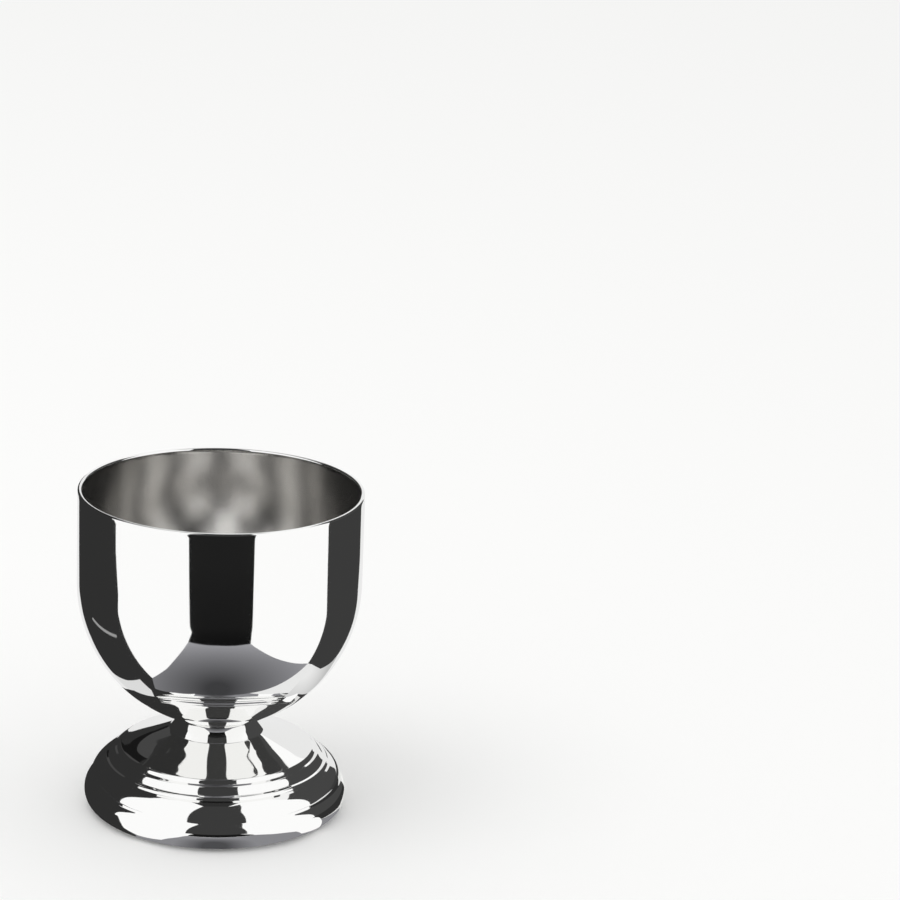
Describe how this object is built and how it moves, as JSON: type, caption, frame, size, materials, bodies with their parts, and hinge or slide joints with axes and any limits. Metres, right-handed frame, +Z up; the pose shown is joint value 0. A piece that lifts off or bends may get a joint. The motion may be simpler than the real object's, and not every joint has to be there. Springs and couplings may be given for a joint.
{
  "type": "egg cup",
  "caption": "Footed egg cup in mirror-polished stainless sheet: deep round-bottomed bowl spot welded to a hollow flared foot with pressed steps and beads.",
  "frame": {"origin": "centre of the ring that the foot rests on, in the plane of the table", "axes": "+Z up along the axis that every piece is turned about; +X and +Y are level and alike"},
  "size_m": [0.046, 0.046, 0.054],
  "materials": {
    "polished_bowl": "mirror-polished stainless steel",
    "polished_foot": "mirror-polished stainless steel",
    "weld_metal": "unfinished weld metal, sealed between the sheets"
  },
  "bodies": {
    "root": {"bowl": "polished_bowl", "foot": "polished_foot", "weld_nuggets": "weld_metal"}
  },
  "joints": []
}
